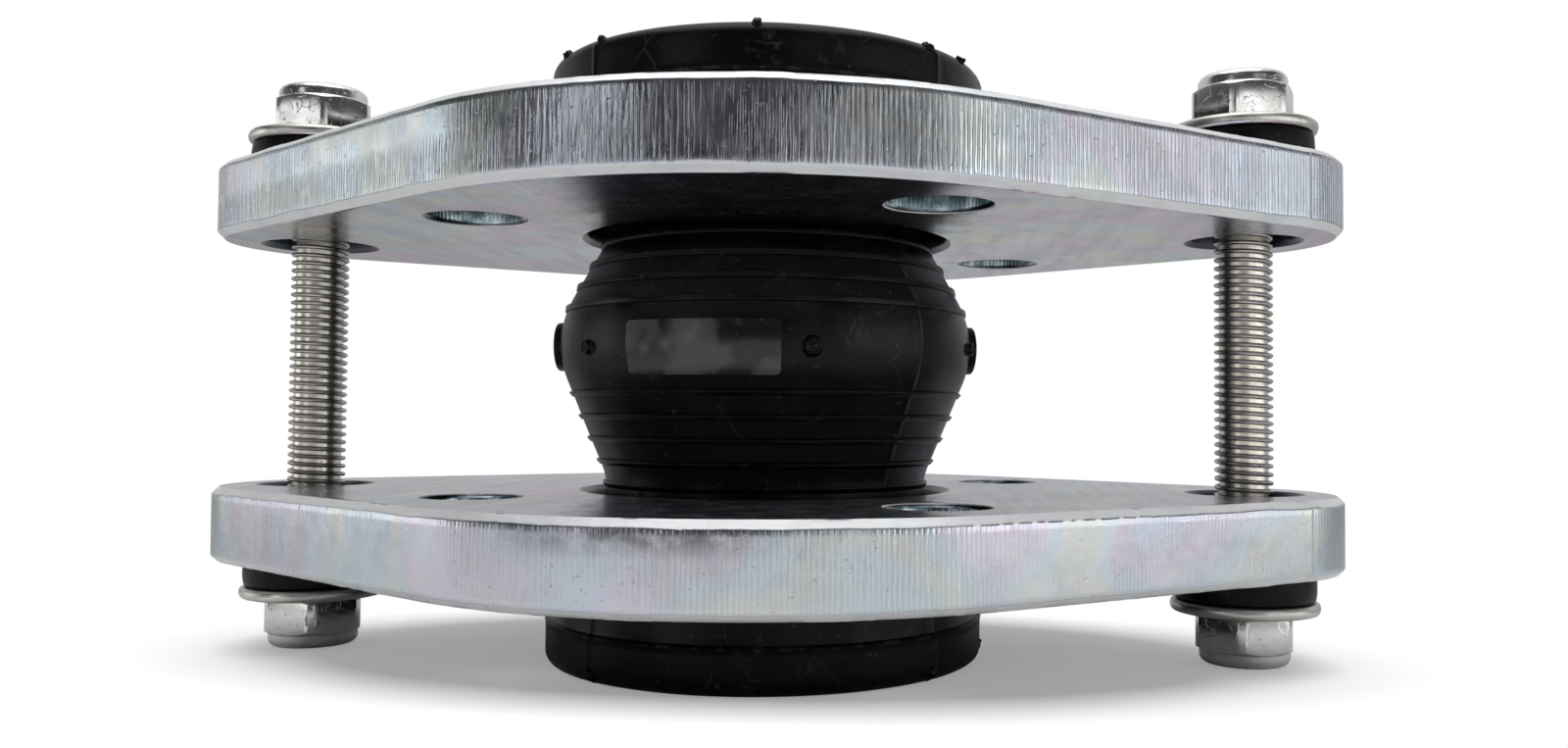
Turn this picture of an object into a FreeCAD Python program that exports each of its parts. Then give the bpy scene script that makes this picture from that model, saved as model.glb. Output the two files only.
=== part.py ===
import FreeCAD, Part
import math
import os

# Tied rubber bellows connector for a 50 mm pipe, in millimetres and degrees.
# It stands on its lower sealing face, with the pipe's axis along Z and the flange ears along X.
# The upper end is the mirror image of the lower one.
face_to_face = 122.0

# Rubber bellows: the wall, whose bulge is widest a little above the middle and leans more above it
bore_radius = 25.5
wall = 8.2
bulge_radius = 43.2
bulge_height = 64.8
barrel_radius = 20.0
upper_cone_angle = 29.0
lower_cone_angle = 22.5
neck_blend = 10.0
wall_step = 4.0

# Rubber bellows: the sealing collar at each end
collar_radius = 45.5
collar_height = 19.1
collar_edge = 2.6
collar_root = 3.5
lip_height = 9.4
lip_step = 0.8
back_taper = 0.9
mouth_edge = 1.2

# Rubber bellows: the raised rings above and below its smooth middle band
upper_rings = 4
lower_rings = 5
first_upper_ring = 7.9
first_lower_ring = 9.9
ring_pitch = 4.67
ring_width = 1.4
ring_crest = 0.6
ring_height = 0.8

# Rubber bellows: the raised oval pads on two sides of the middle band
pad_width = 15.0
pad_height = 8.8
pad_proud = 2.1
pad_turn = 9.0

# Flange plates, which turn freely round the bellows
flange_radius = 82.5
flange_thickness = 15.5
neck_clearance = 4.3
collar_clearance = 0.3
bore_chamfer = 1.0
inner_chamfer = 2.3
outer_chamfer = 1.2
ear_reach = 119.3
ear_radius = 27.5

# Pipe bolt holes in each flange
bolt_circle = 125.0
bolt_holes = 4
bolt_hole_radius = 9.0
bolt_hole_turn = 37.0
bolt_hole_chamfer = 0.8

# Tie rods, and the wide holes that they pass through
rod_to_ear_end = 19.3
rod_radius = 5.95
rod_play = 5.05
rod_hole_chamfer = 1.0
rod_end_chamfer = 1.0
rod_end_inset = 0.5

# Rubber bush between each washer and its flange
bush_radius = 14.3
bush_height = 6.0
bush_edge = 1.2
bush_clearance = 0.3

# Washers
washer_radius = 15.0
washer_thickness = 2.5
washer_edge = 0.7
washer_play = 0.55

# Lock nuts, with a nylon insert in a round collar at the outer end
nut_across_flats = 19.0
nut_height = 10.5
nut_collar_height = 2.8
nut_corner_trim = 0.4
nut_face_inset = 0.3
nut_chamfer_angle = 30.0
nut_collar_inset = 0.4
nut_collar_edge = 1.5
nut_turns = {"lower_left": 27.0, "lower_right": -25.0, "upper_left": 20.0, "upper_right": -25.0}
insert_cover = 0.6
insert_side_wall = 1.1
insert_opening = 0.8
thread_clearance = 0.05

# Short flats that stand for the quarter round of an edge
edge_flats = 3

# Places that follow from the sizes above
middle = face_to_face / 2
neck_radius = bore_radius + wall
rod_offset = ear_reach - rod_to_ear_end
flange_bore_radius = neck_radius + neck_clearance
outer_face = collar_height + collar_clearance
inner_face = outer_face + flange_thickness
bush_top = outer_face - bush_clearance
bush_bottom = bush_top - bush_height
nut_top = bush_bottom - washer_thickness
nut_bottom = nut_top - nut_height
thread_hole_radius = rod_radius + thread_clearance
centre = FreeCAD.Vector(0, 0, 0)
axis = FreeCAD.Vector(0, 0, 1)
rod_place = FreeCAD.Vector(rod_offset, 0, 0)


# Drawing helpers
def at(radius, z):
    """A point of a section that is turned about Z."""
    return FreeCAD.Vector(radius, 0, z)


def polar(radius, angle):
    """A point of a flat outline, by its distance from the axis and its direction."""
    turn = math.radians(angle)
    return FreeCAD.Vector(radius * math.cos(turn), radius * math.sin(turn), 0)


def line(start, end):
    return Part.LineSegment(start, end).toShape()


def arc(start, through, end):
    return Part.Arc(start, through, end).toShape()


def turned(corners):
    """The solid that a section makes when it is turned about Z, from the section's corners."""
    return Part.Face(Part.makePolygon(corners + corners[:1])).revolve(centre, axis, 360)


def round_edge(radius, edge, low):
    """Corners of the rounded lower edge of a turned piece, from its end face outwards."""
    turns = [math.radians(90 * number / edge_flats) for number in range(edge_flats + 1)]
    return [at(radius - edge * (1 - math.sin(turn)), low + edge * (1 - math.cos(turn))) for turn in turns]


def ring(outer, inner, low, high, chamfer=0.0):
    """A flat ring about Z, with its outer rims chamfered where that is asked for."""
    corners = [at(inner, low), at(outer - chamfer, low), at(outer, low + chamfer)]
    corners += [at(outer, high - chamfer), at(outer - chamfer, high), at(inner, high)]
    return turned([corner for corner, last in zip(corners, corners[-1:] + corners) if corner != last])


def upper(shape):
    """A lower piece's copy at the upper end."""
    return shape.mirror(FreeCAD.Vector(0, 0, middle), axis)


# Rubber bellows
def wall_joins(depth, cone_angle):
    """Distances from the bulge's widest place where the barrel, the cone, the blend and the neck meet."""
    slope = math.radians(cone_angle)
    barrel = barrel_radius - depth
    blend = neck_blend + depth
    cone_drop = bulge_radius - neck_radius - (barrel + blend) * (1 - math.cos(slope))
    barrel_end = barrel * math.sin(slope)
    blend_start = barrel_end + cone_drop / math.tan(slope)
    return barrel_end, blend_start, blend_start + blend * math.sin(slope)


def wall_point(height, depth):
    """A point of the wall, by its height above the widest place and its depth under the outer surface."""
    cone_angle = upper_cone_angle if height > 0 else lower_cone_angle
    slope = math.radians(cone_angle)
    barrel = barrel_radius - depth
    blend = neck_blend + depth
    barrel_end, blend_start, blend_end = wall_joins(depth, cone_angle)
    away = abs(height)
    if away <= barrel_end:
        inwards = barrel - math.sqrt(barrel**2 - away**2)
    elif away <= blend_start:
        inwards = barrel * (1 - math.cos(slope)) + (away - barrel_end) * math.tan(slope)
    elif away <= blend_end:
        neck_rise = blend - math.sqrt(blend**2 - (blend_end - away) ** 2)
        inwards = bulge_radius - neck_radius - neck_rise
    else:
        inwards = bulge_radius - neck_radius
    return at(bulge_radius - depth - inwards, bulge_height + height)


def ring_feet():
    """The lower and upper edge of each raised ring, as heights above the widest place."""
    heights = [-first_lower_ring - number * ring_pitch for number in reversed(range(lower_rings))]
    heights += [first_upper_ring + number * ring_pitch for number in range(upper_rings)]
    return [(height - ring_width / 2, height + ring_width / 2) for height in heights]


def wall_section(depth, rings):
    """Corners of the wall's section from the lower neck to the upper one, with its raised rings."""
    lower_neck = max([wall_joins(depth, lower_cone_angle)[2]] + [-low for low, high in rings])
    upper_neck = max([wall_joins(depth, upper_cone_angle)[2]] + [high for low, high in rings])
    slant = (ring_width - ring_crest) / 2
    corners = []
    start = -lower_neck
    for low, high in rings + [(upper_neck, upper_neck)]:
        steps = max(1, round((low - start) / wall_step))
        stretch = (low - start) / steps
        corners += [wall_point(start + step * stretch, depth) for step in range(steps + 1)]
        if high > low:
            corners += [
                wall_point(low + slant, depth) + at(ring_height, 0),
                wall_point(high - slant, depth) + at(ring_height, 0),
            ]
        start = high
    return corners


def collar_section():
    """Corners of the lower collar's section, from the bore round the sealing face to the neck."""
    lip_radius = collar_radius - lip_step
    mouth = [at(bore_radius, mouth_edge), at(bore_radius + mouth_edge, 0)]
    return mouth + round_edge(collar_radius, collar_edge, 0) + [
        at(collar_radius, lip_height - lip_step),
        at(lip_radius, lip_height),
        at(lip_radius - back_taper, collar_height),
        at(neck_radius + collar_root, collar_height),
        at(neck_radius, collar_height + collar_root),
    ]


def side_pad(turn):
    """A raised oval pad that follows the curve of the middle band."""
    heights = [pad_height * share for share in (-1, -0.5, 0, 0.5, 1)]
    skin = turned(
        [wall_point(height, -pad_proud) for height in heights]
        + [wall_point(height, wall / 2) for height in reversed(heights)]
    )
    oval = Part.Wire(Part.Ellipse(centre, pad_width / 2, pad_height / 2).toShape())
    prism = Part.Face(oval).extrude(axis * (bulge_radius + 2 * pad_proud))
    prism.rotate(centre, FreeCAD.Vector(1, 0, 0), 90)
    prism.rotate(centre, axis, 90 + turn)
    prism.translate(axis * bulge_height)
    return skin.common(prism)


def rubber_bellows():
    """The moulded rubber body: a bulging ribbed tube with a sealing collar at each end."""
    lower_collar = collar_section()
    upper_collar = [at(corner.x, face_to_face - corner.z) for corner in reversed(lower_collar)]
    outside = wall_section(0, ring_feet())
    inside = wall_section(wall, [])
    tube = turned(lower_collar + outside + upper_collar + inside[::-1])
    return tube.multiFuse([side_pad(pad_turn), side_pad(pad_turn + 180)])


# Flanges
def flange_outline():
    """A disc with two round ears, and straight flanks that touch the disc and the ears."""
    ear_centre = ear_reach - ear_radius
    flank = math.degrees(math.acos((flange_radius - ear_radius) / ear_centre))
    edges = []
    for ear in (0, 180):
        ear_start = polar(ear_centre, ear) + polar(ear_radius, ear - flank)
        ear_end = polar(ear_centre, ear) + polar(ear_radius, ear + flank)
        disc_start, disc_end = polar(flange_radius, ear + flank), polar(flange_radius, ear + 180 - flank)
        edges.append(line(polar(flange_radius, ear - flank), ear_start))
        edges.append(arc(ear_start, polar(ear_reach, ear), ear_end))
        edges.append(line(ear_end, disc_start))
        edges.append(arc(disc_start, polar(flange_radius, ear + 90), disc_end))
    return Part.Wire(Part.sortEdges(edges)[0])


def hole(radius, inner_mouth, outer_mouth, place):
    """A cutter for a hole through the lower flange, with a chamfer of its own for each mouth."""
    corners = [
        at(0, outer_face),
        at(radius + outer_mouth, outer_face),
        at(radius, outer_face + outer_mouth),
        at(radius, inner_face - inner_mouth),
        at(radius + inner_mouth, inner_face),
        at(0, inner_face),
    ]
    cutter = turned([corner for corner, last in zip(corners, corners[-1:] + corners) if corner != last])
    cutter.translate(place)
    return cutter


def lower_flange():
    """A flame-cut steel plate with two ears for the tie rods."""
    plate = Part.Face(flange_outline()).extrude(axis * flange_thickness)
    plate.translate(axis * outer_face)
    outer_rim = [edge for edge in plate.Edges if edge.BoundBox.ZMax < outer_face + 1e-3]
    plate = plate.makeChamfer(outer_chamfer, outer_rim)
    inner_rim = [edge for edge in plate.Edges if edge.BoundBox.ZMin > inner_face - 1e-3]
    plate = plate.makeChamfer(inner_chamfer, inner_rim)
    cutters = [hole(flange_bore_radius, bore_chamfer, bore_chamfer, centre)]
    for number in range(bolt_holes):
        place = polar(bolt_circle / 2, bolt_hole_turn + number * 360 / bolt_holes)
        cutters.append(hole(bolt_hole_radius, bolt_hole_chamfer, 0, place))
    for place in (centre - rod_place, centre + rod_place):
        cutters.append(hole(rod_radius + rod_play, rod_hole_chamfer, rod_hole_chamfer, place))
    return plate.cut(cutters)


# Tie rods and their fittings, drawn on the axis of the bellows
def tie_rod():
    """A threaded rod, as a plain cylinder of its thread's outer size."""
    low = nut_bottom + rod_end_inset
    high = face_to_face - low
    return turned(
        [
            at(0, low),
            at(rod_radius - rod_end_chamfer, low),
            at(rod_radius, low + rod_end_chamfer),
            at(rod_radius, high - rod_end_chamfer),
            at(rod_radius - rod_end_chamfer, high),
            at(0, high),
        ]
    )


def rubber_bush():
    return ring(bush_radius, rod_radius + bush_clearance, bush_bottom, bush_top, bush_edge)


def washer():
    return ring(washer_radius, rod_radius + washer_play, nut_top, bush_bottom, washer_edge)


def insert_radius():
    return nut_across_flats / 2 - nut_collar_inset - insert_side_wall


def nut_hexagon(low, turn):
    """The hexagon, with the arched chamfers that a cone leaves on its corners."""
    corner_radius = nut_across_flats / 2 / math.cos(math.radians(30))
    corners = [polar(corner_radius, turn + 30 + 60 * number) for number in range(7)]
    prism = Part.Face(Part.makePolygon(corners)).extrude(axis * (nut_top - low))
    prism.translate(axis * low)
    face_radius = nut_across_flats / 2 - nut_face_inset
    trimmed_radius = corner_radius - nut_corner_trim
    rise = (trimmed_radius - face_radius) * math.tan(math.radians(nut_chamfer_angle))
    envelope = turned(
        [
            at(0, low),
            at(face_radius, low),
            at(trimmed_radius, low + rise),
            at(trimmed_radius, nut_top - rise),
            at(face_radius, nut_top),
            at(0, nut_top),
        ]
    )
    return prism.common(envelope)


def lock_nut(turn):
    """A hexagon nut with a rounded collar at its outer end that holds the insert."""
    hexagon_bottom = nut_bottom + nut_collar_height
    pocket_bottom = nut_bottom + insert_cover
    collar_radius_outside = nut_across_flats / 2 - nut_collar_inset
    round_collar = turned(
        [at(0, nut_bottom)]
        + round_edge(collar_radius_outside, nut_collar_edge, nut_bottom)
        + [at(collar_radius_outside, hexagon_bottom), at(0, hexagon_bottom)]
    )
    inside = turned(
        [
            at(0, nut_bottom),
            at(rod_radius + insert_opening, nut_bottom),
            at(rod_radius + insert_opening, pocket_bottom),
            at(insert_radius(), pocket_bottom),
            at(insert_radius(), hexagon_bottom),
            at(thread_hole_radius, hexagon_bottom),
            at(thread_hole_radius, nut_top),
            at(0, nut_top),
        ]
    )
    return nut_hexagon(hexagon_bottom, turn).fuse(round_collar).cut(inside)


def nylon_insert():
    """The ring in the nut's collar that grips the thread."""
    low, high = nut_bottom + insert_cover, nut_bottom + nut_collar_height
    return ring(insert_radius() - thread_clearance, thread_hole_radius, low, high)


# The whole connector, one file for each piece
os.makedirs("parts", exist_ok=True)


def save(shape, name):
    shape.exportStep("parts/" + name + ".step")


save(rubber_bellows(), "rubber_bellows")
save(lower_flange(), "lower_flange")
save(upper(lower_flange()), "upper_flange")
fittings = {"rubber_bush": rubber_bush(), "washer": washer(), "nylon_insert": nylon_insert()}
for side, place in (("left", centre - rod_place), ("right", centre + rod_place)):
    save(tie_rod().translated(place), side + "_tie_rod")
    for name, shape in fittings.items():
        save(shape.translated(place), "lower_" + side + "_" + name)
        save(upper(shape).translated(place), "upper_" + side + "_" + name)
    lower_nut = lock_nut(nut_turns["lower_" + side])
    upper_nut = upper(lock_nut(nut_turns["upper_" + side]))
    save(lower_nut.translated(place), "lower_" + side + "_lock_nut")
    save(upper_nut.translated(place), "upper_" + side + "_lock_nut")
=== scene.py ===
import functools
import itertools
import math

import bpy
from mathutils import Matrix, Vector, noise
from mathutils.geometry import delaunay_2d_cdt


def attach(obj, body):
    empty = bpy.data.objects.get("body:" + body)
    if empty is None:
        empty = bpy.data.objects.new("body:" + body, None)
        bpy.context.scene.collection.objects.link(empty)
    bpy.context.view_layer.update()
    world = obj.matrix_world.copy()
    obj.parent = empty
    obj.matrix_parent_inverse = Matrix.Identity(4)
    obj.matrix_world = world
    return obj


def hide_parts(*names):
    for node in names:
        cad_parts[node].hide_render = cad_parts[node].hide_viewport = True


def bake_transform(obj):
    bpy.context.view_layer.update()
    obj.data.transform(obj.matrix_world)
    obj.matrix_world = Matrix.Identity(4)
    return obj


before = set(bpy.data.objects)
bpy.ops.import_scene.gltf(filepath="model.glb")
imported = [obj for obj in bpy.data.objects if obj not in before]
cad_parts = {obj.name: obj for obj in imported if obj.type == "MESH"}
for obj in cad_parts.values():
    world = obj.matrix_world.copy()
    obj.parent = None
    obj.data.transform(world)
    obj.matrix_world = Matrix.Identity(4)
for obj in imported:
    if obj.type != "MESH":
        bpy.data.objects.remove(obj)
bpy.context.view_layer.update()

# Rubber bellows. One black moulding of rubber over fabric plies: a bulging tube with a thick collar at
# each end that seals against the pipe. Its ends turn with their flanges and the bulge gives between them,
# so it is drawn as five closed rings that meet at the feet of its raised rings; the three of the bulge stay
# fixed.
mm = 0.001
face_to_face = 122 * mm
bulge_radius, bulge_height = 43.2 * mm, 64.8 * mm
barrel_round, blend_round = 20 * mm, 10 * mm
slope_above, slope_below = math.radians(29.0), math.radians(22.5)
neck_radius, bore_radius = 33.7 * mm, 25.5 * mm
wall = neck_radius - bore_radius
neck_foot = 22.6 * mm
# Heights at which the five rings meet
lower_joint, band_foot, band_top, upper_joint = 35.52 * mm, 49.53 * mm, 76.67 * mm, 87.41 * mm
steps_round = 216
# Directions of the lines of moulding flash, in degrees, and their size
bulge_flash, collar_flash = (-38.8, 141.2), (-36.4, -127.8, 143.6, 52.2)
flash_half_width, flash_clearance = math.radians(0.7), math.radians(1.5)


def smooth_object(name, points, faces, sharp_angle=38):
    """An object at the origin from points in metres, with smooth faces and sharp edges past an angle."""
    mesh = bpy.data.meshes.new(name)
    mesh.from_pydata(points, [], faces)
    mesh.update()
    mesh.polygons.foreach_set("use_smooth", [True] * len(mesh.polygons))
    mesh.set_sharp_from_angle(angle=math.radians(sharp_angle))
    piece = bpy.data.objects.new(name, mesh)
    bpy.context.scene.collection.objects.link(piece)
    return piece


def skin(rows, count, first=0, closed=False):
    """Faces over rows of points that each go once round, and from the last row to the first if closed."""
    faces = []
    for row in range(rows if closed else rows - 1):
        a, b = first + row * count, first + (row + 1) % rows * count
        faces += [(a + n, a + (n + 1) % count, b + (n + 1) % count, b + n) for n in range(count)]
    return faces


def fans(rows, count):
    """Faces that close a skin's last row and then its first, round two middle points that follow it."""
    last, peak = (rows - 1) * count, rows * count
    faces = [(last + n, last + (n + 1) % count, peak) for n in range(count)]
    return faces + [((n + 1) % count, n, peak + 1) for n in range(count)]


def quarter(steps):
    return [math.radians(90 * n / steps) for n in range(steps + 1)]


def wall_radius(z):
    """Radius of the bellows' outer surface at a height: barrel, cone, blend, neck."""
    away = abs(z - bulge_height)
    slope = slope_above if z > bulge_height else slope_below
    cone_drop = bulge_radius - neck_radius - (barrel_round + blend_round) * (1 - math.cos(slope))
    barrel_end = barrel_round * math.sin(slope)
    blend_start = barrel_end + cone_drop / math.tan(slope)
    blend_end = blend_start + blend_round * math.sin(slope)
    if away <= barrel_end:
        return bulge_radius - barrel_round + math.sqrt(barrel_round**2 - away**2)
    if away <= blend_start:
        return bulge_radius - barrel_round * (1 - math.cos(slope)) - (away - barrel_end) * math.tan(slope)
    if away <= blend_end:
        return neck_radius + blend_round - math.sqrt(blend_round**2 - (blend_end - away) ** 2)
    return neck_radius


def angles_round(lines):
    """Angles round the axis, closer together where a line of moulding flash stands."""
    beside = [math.radians(degrees) for degrees in (-1.1, -0.6, -0.3, 0, 0.3, 0.6, 1.1)]
    even = [math.tau * step / steps_round for step in range(steps_round)]
    clear = [a for a in even if all(abs(math.remainder(a - b, math.tau)) > flash_clearance for b in lines)]
    return sorted(angle % math.tau for angle in clear + [line + side for line in lines for side in beside])


def moulded_point(radius, angle, z, lines, outside):
    """A point of the moulding: a little uneven, and raised along the thin lines of flash."""
    point = Vector((radius * math.cos(angle), radius * math.sin(angle), z))
    if not outside:
        return point
    away = min(abs(math.remainder(angle - line, math.tau)) for line in lines)
    crest = max(0, 1 - (away / flash_half_width) ** 2) * (0.30 + 0.12 * noise.noise(point * 900)) * mm
    uneven = noise.noise(point * 90) * 0.12 * mm + noise.noise(point * 300) * 0.025 * mm
    stretch = 1 + (crest + uneven) / radius
    return Vector((point.x * stretch, point.y * stretch, z))


def turned_ring(section, flash):
    """Points and faces of a closed ring, from its section: (radius, height, is it outside) all round."""
    lines = [math.radians(degrees) for degrees in flash]
    angles = angles_round(lines)
    points = [moulded_point(r, angle, z, lines, outside) for r, z, outside in section for angle in angles]
    return points, skin(len(section), len(angles), closed=True)


def heights_between(low, high, step):
    """Even heights from one to another, about a step apart."""
    count = max(1, round((high - low) / step))
    return [low + (high - low) * number / count for number in range(count + 1)]


def collar_section():
    """The collar from its sealing face round a soft edge, a lip and the flange's bore in to the neck."""
    radius, edge = 45.5, 2.6
    outline = [(radius - edge * (1 - math.sin(a)), edge * (1 - math.cos(a))) for a in quarter(8)]
    outline += [(radius, z) for z in (3.8, 5.0, 6.2, 7.4, 8.2)]
    outline += [(45.62, 8.6), (45.66, 8.9), (45.45, 9.1), (44.75, 9.35)]
    outline += [(44.7 - 0.9 * n / 6, 9.6 + 9.3 * n / 6) for n in range(7)]
    outline += [(43.4, 19.1), (40.0, 19.1), (37.6, 19.1)]
    outline += [(37.2 - 3.5 * math.sin(a), 22.6 - 3.5 * math.cos(a)) for a in quarter(5)]
    return [(r * mm, z * mm) for r, z in outline]


def end_section(top):
    """An end of the bellows on its sealing face: the collar, the neck up to a height, the bore."""
    section = [(r, z, True) for r, z in collar_section()]
    section += [(neck_radius, z, True) for z in heights_between(neck_foot, top, 1.6 * mm)[1:]]
    section += [(bore_radius, z, False) for z in heights_between(3 * mm, top, 4 * mm)[::-1]]
    section += [(bore_radius, 1.2 * mm, False), (bore_radius + 0.4 * mm, 0.35 * mm, False)]
    return section + [(bore_radius + 1.2 * mm, 0.0, False), (34 * mm, 0.0, False)]


def wall_section(low, high):
    """The bulge's wall between two heights, up the outside and down the inside."""
    section = [(wall_radius(z), z, True) for z in heights_between(low, high, 1.0 * mm)]
    return section + [(wall_radius(z) - wall, z, False) for z in heights_between(low, high, 2.4 * mm)[::-1]]


def turned_over(section):
    """A section of the lower end as one of the upper end."""
    return [(r, face_to_face - z, outside) for r, z, outside in section][::-1]


bellows_meshes = {
    "lower_neck": turned_ring(end_section(lower_joint), collar_flash),
    "lower_bulge": turned_ring(wall_section(lower_joint, band_foot), bulge_flash),
    "middle_band": turned_ring(wall_section(band_foot, band_top), bulge_flash),
    "upper_bulge": turned_ring(wall_section(band_top, upper_joint), bulge_flash),
    "upper_neck": turned_ring(turned_over(end_section(face_to_face - upper_joint)), collar_flash),
}


def on_wall(direction, sideways, z, lift):
    """A point over the bulge: a direction from the axis, a distance to its left, a height and a lift."""
    radius = wall_radius(z) + lift
    forwards = math.sqrt(radius**2 - sideways**2)
    cos, sin = math.cos(direction), math.sin(direction)
    return Vector((forwards * cos - sideways * sin, forwards * sin + sideways * cos, z))


def raised_patch(direction, z, outline, rings):
    """A closed low form on the wall: its outline, scaled and lifted ring by ring from the foot inwards."""
    points = []
    for scale, lift in rings:
        points += [on_wall(direction, s * scale, z + t * scale, lift) for s, t in outline]
    points += [on_wall(direction, 0, z, lift) for scale, lift in (rings[-1], rings[0])]
    return points, skin(len(rings), len(outline)) + fans(len(rings), len(outline))


def oval(width, height, steps):
    angles = [math.tau * n / steps for n in range(steps)]
    return [(width / 2 * math.cos(angle), height / 2 * math.sin(angle)) for angle in angles]


# The middle band carries an oval medallion on each side and round moulding plugs between them. Each has
# a profile of (share of its width, lift in millimetres) from its foot to its middle.
medallion = [
    (1.04, -1.4), (1.02, 0.14), (1.0, 0.63), (1.0, 1.05), (0.985, 1.33), (0.95, 1.47), (0.89, 1.484),
    (0.83, 1.4), (0.80, 1.12), (0.77, 0.875), (0.70, 0.805), (0.52, 0.84), (0.46, 0.945), (0.40, 1.19),
    (0.33, 1.26), (0.22, 1.26), (0.12, 1.225),
]
plug = [
    (1.35, -0.8), (1.25, -0.05), (1.08, 0.12), (1.0, 0.4), (0.98, 0.85), (0.90, 1.05), (0.78, 1.1),
    (0.66, 1.0), (0.58, 0.85), (0.40, 0.84), (0.34, 0.88), (0.22, 1.0), (0.12, 1.0),
]
forms = [(direction, 64.6, oval(15 * mm, 10.2 * mm, 72), medallion) for direction in (9, 189)]
for direction, z, width in (
    (-70.2, 63.1, 3.5), (-133.8, 63.3, 2.7), (-8.0, 64.3, 2.6), (109.8, 63.1, 3.5), (46.2, 63.3, 2.7),
):
    forms.append((direction, z, oval(width * mm, width * mm, 32), plug))
band_points, band_faces = bellows_meshes["middle_band"]
for direction, z, outline, profile in forms:
    rings = [(scale, lift * mm) for scale, lift in profile]
    form_points, form_faces = raised_patch(math.radians(direction), z * mm, outline, rings)
    start = len(band_points)
    band_points += form_points
    band_faces += [tuple(index + start for index in face) for face in form_faces]


# Helpers for node trees. In all of them a node that is given as a value stands for its first output, and
# a sum stands in the tree that its values come from.
def feed(node, inputs):
    """Sets or links a node's inputs."""
    for socket, value in inputs.items():
        if isinstance(value, bpy.types.Node):
            value = value.outputs[0]
        if isinstance(value, bpy.types.NodeSocket):
            node.id_data.links.new(value, node.inputs[socket])
        else:
            node.inputs[socket].default_value = value
    return node


def put(tree, kind, inputs=None, **settings):
    """A new node with its settings made, then its inputs."""
    node = tree.nodes.new(kind)
    for name, value in settings.items():
        setattr(node, name, value)
    return feed(node, inputs or {})


def calc(operation, first, second=0.0):
    tree = first.id_data if hasattr(first, "id_data") else second.id_data
    return put(tree, "ShaderNodeMath", {0: first, 1: second}, operation=operation).outputs[0]


def times(*values):
    return functools.reduce(lambda first, second: calc("MULTIPLY", first, second), values)


def plus(*values):
    return functools.reduce(lambda first, second: calc("ADD", first, second), values)


def minus(first, second):
    return calc("SUBTRACT", first, second)


def apart(value, middle=0.0):
    """How far a value is from a middle one, on either side."""
    return calc("ABSOLUTE", minus(value, middle))


def between(value, low, high, bottom=0.0, top=1.0):
    """Maps a value from low..high to bottom..top and holds it there."""
    sockets = {"Value": value, "From Min": low, "From Max": high, "To Min": bottom, "To Max": top}
    return put(value.id_data, "ShaderNodeMapRange", sockets).outputs["Result"]


def mixed(amount, first, second):
    """A blend of two colours, all of the second where the amount is one."""
    colours = {0: amount, 6: first, 7: second}
    return put(amount.id_data, "ShaderNodeMix", colours, data_type="RGBA").outputs[2]


def vector(**parts):
    tree = next(value.id_data for value in parts.values() if hasattr(value, "id_data"))
    return put(tree, "ShaderNodeCombineXYZ", parts)


def axes(value):
    return put(value.id_data, "ShaderNodeSeparateXYZ", {0: value}).outputs


def shifted(geometry, **changes):
    return put(geometry.id_data, "GeometryNodeTransform", {"Geometry": geometry} | changes)


def joined(*shapes):
    node = shapes[0].id_data.nodes.new("GeometryNodeJoinGeometry")
    for shape in shapes:
        feed(node, {0: shape})
    return node


def tree_group(name, kind, inputs, outputs):
    """A node group with named inputs (name, socket kind, value) and outputs (name, socket kind)."""
    tree = bpy.data.node_groups.new(name, kind)
    for title, socket, value in inputs:
        made = tree.interface.new_socket(title, in_out="INPUT", socket_type="NodeSocket" + socket)
        if value is not None:
            made.default_value = value
    for title, socket in outputs:
        tree.interface.new_socket(title, in_out="OUTPUT", socket_type="NodeSocket" + socket)
    return tree, tree.nodes.new("NodeGroupInput").outputs, tree.nodes.new("NodeGroupOutput")


def end_tree(made, given, geometry):
    """Ends a geometry tree: what was placed becomes real geometry and gets the tree's material."""
    whole = put(made.id_data, "GeometryNodeRealizeInstances", {"Geometry": geometry})
    values = {"Geometry": whole, "Material": given["Material"]}
    feed(made, {0: put(made.id_data, "GeometryNodeSetMaterial", values)})


def plain_mesh(piece):
    """Replaces a piece's mesh by what its modifiers make of it, and removes them."""
    graph = bpy.context.evaluated_depsgraph_get()
    result = bpy.data.meshes.new_from_object(piece.evaluated_get(graph), depsgraph=graph)
    piece.modifiers.clear()
    piece.data = result
    result.name = piece.name


def run_tree(piece, tree, values):
    """Runs a geometry tree on a piece with the given inputs, and keeps the result as a plain mesh."""
    modifier = piece.modifiers.new(tree.name, "NODES")
    modifier.node_group = tree
    sockets = {item.name: item.identifier for item in tree.interface.items_tree if item.in_out == "INPUT"}
    for name, value in values.items():
        modifier[sockets[name]] = value
    plain_mesh(piece)


# Raised rings: circles that shrink onto the wall and carry a low rounded profile that leans with the wall
ring_tree, given, made = tree_group(
    "raised_rings",
    "GeometryNodeTree",
    [
        ("Wall", "Geometry", None),
        ("First Height", "Float", 0.05),
        ("Ring Pitch", "Float", 0.00467),
        ("Ring Count", "Int", 2),
        ("Foot Width", "Float", 0.0014),
        ("Crest Width", "Float", 0.0006),
        ("Ring Height", "Float", 0.0008),
        ("Sunk Depth", "Float", 0.0004),
        ("Edge Rounding", "Float", 0.0002),
        ("Steps Around", "Int", 240),
        ("Material", "Material", None),
    ],
    [("Bellows", "Geometry")],
)
stack = {
    "Count": given["Ring Count"],
    "Start Location": vector(Z=given["First Height"]),
    "Offset": vector(Z=given["Ring Pitch"]),
}
stack = put(ring_tree, "GeometryNodeMeshLine", stack)
circle = {"Resolution": given["Steps Around"], "Radius": 0.06}
circle = put(ring_tree, "GeometryNodeCurvePrimitiveCircle", circle)
hoops = put(ring_tree, "GeometryNodeInstanceOnPoints", {"Points": stack, "Instance": circle})
hoops = put(ring_tree, "GeometryNodeRealizeInstances", {"Geometry": hoops})
place = put(ring_tree, "GeometryNodeInputPosition")
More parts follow.
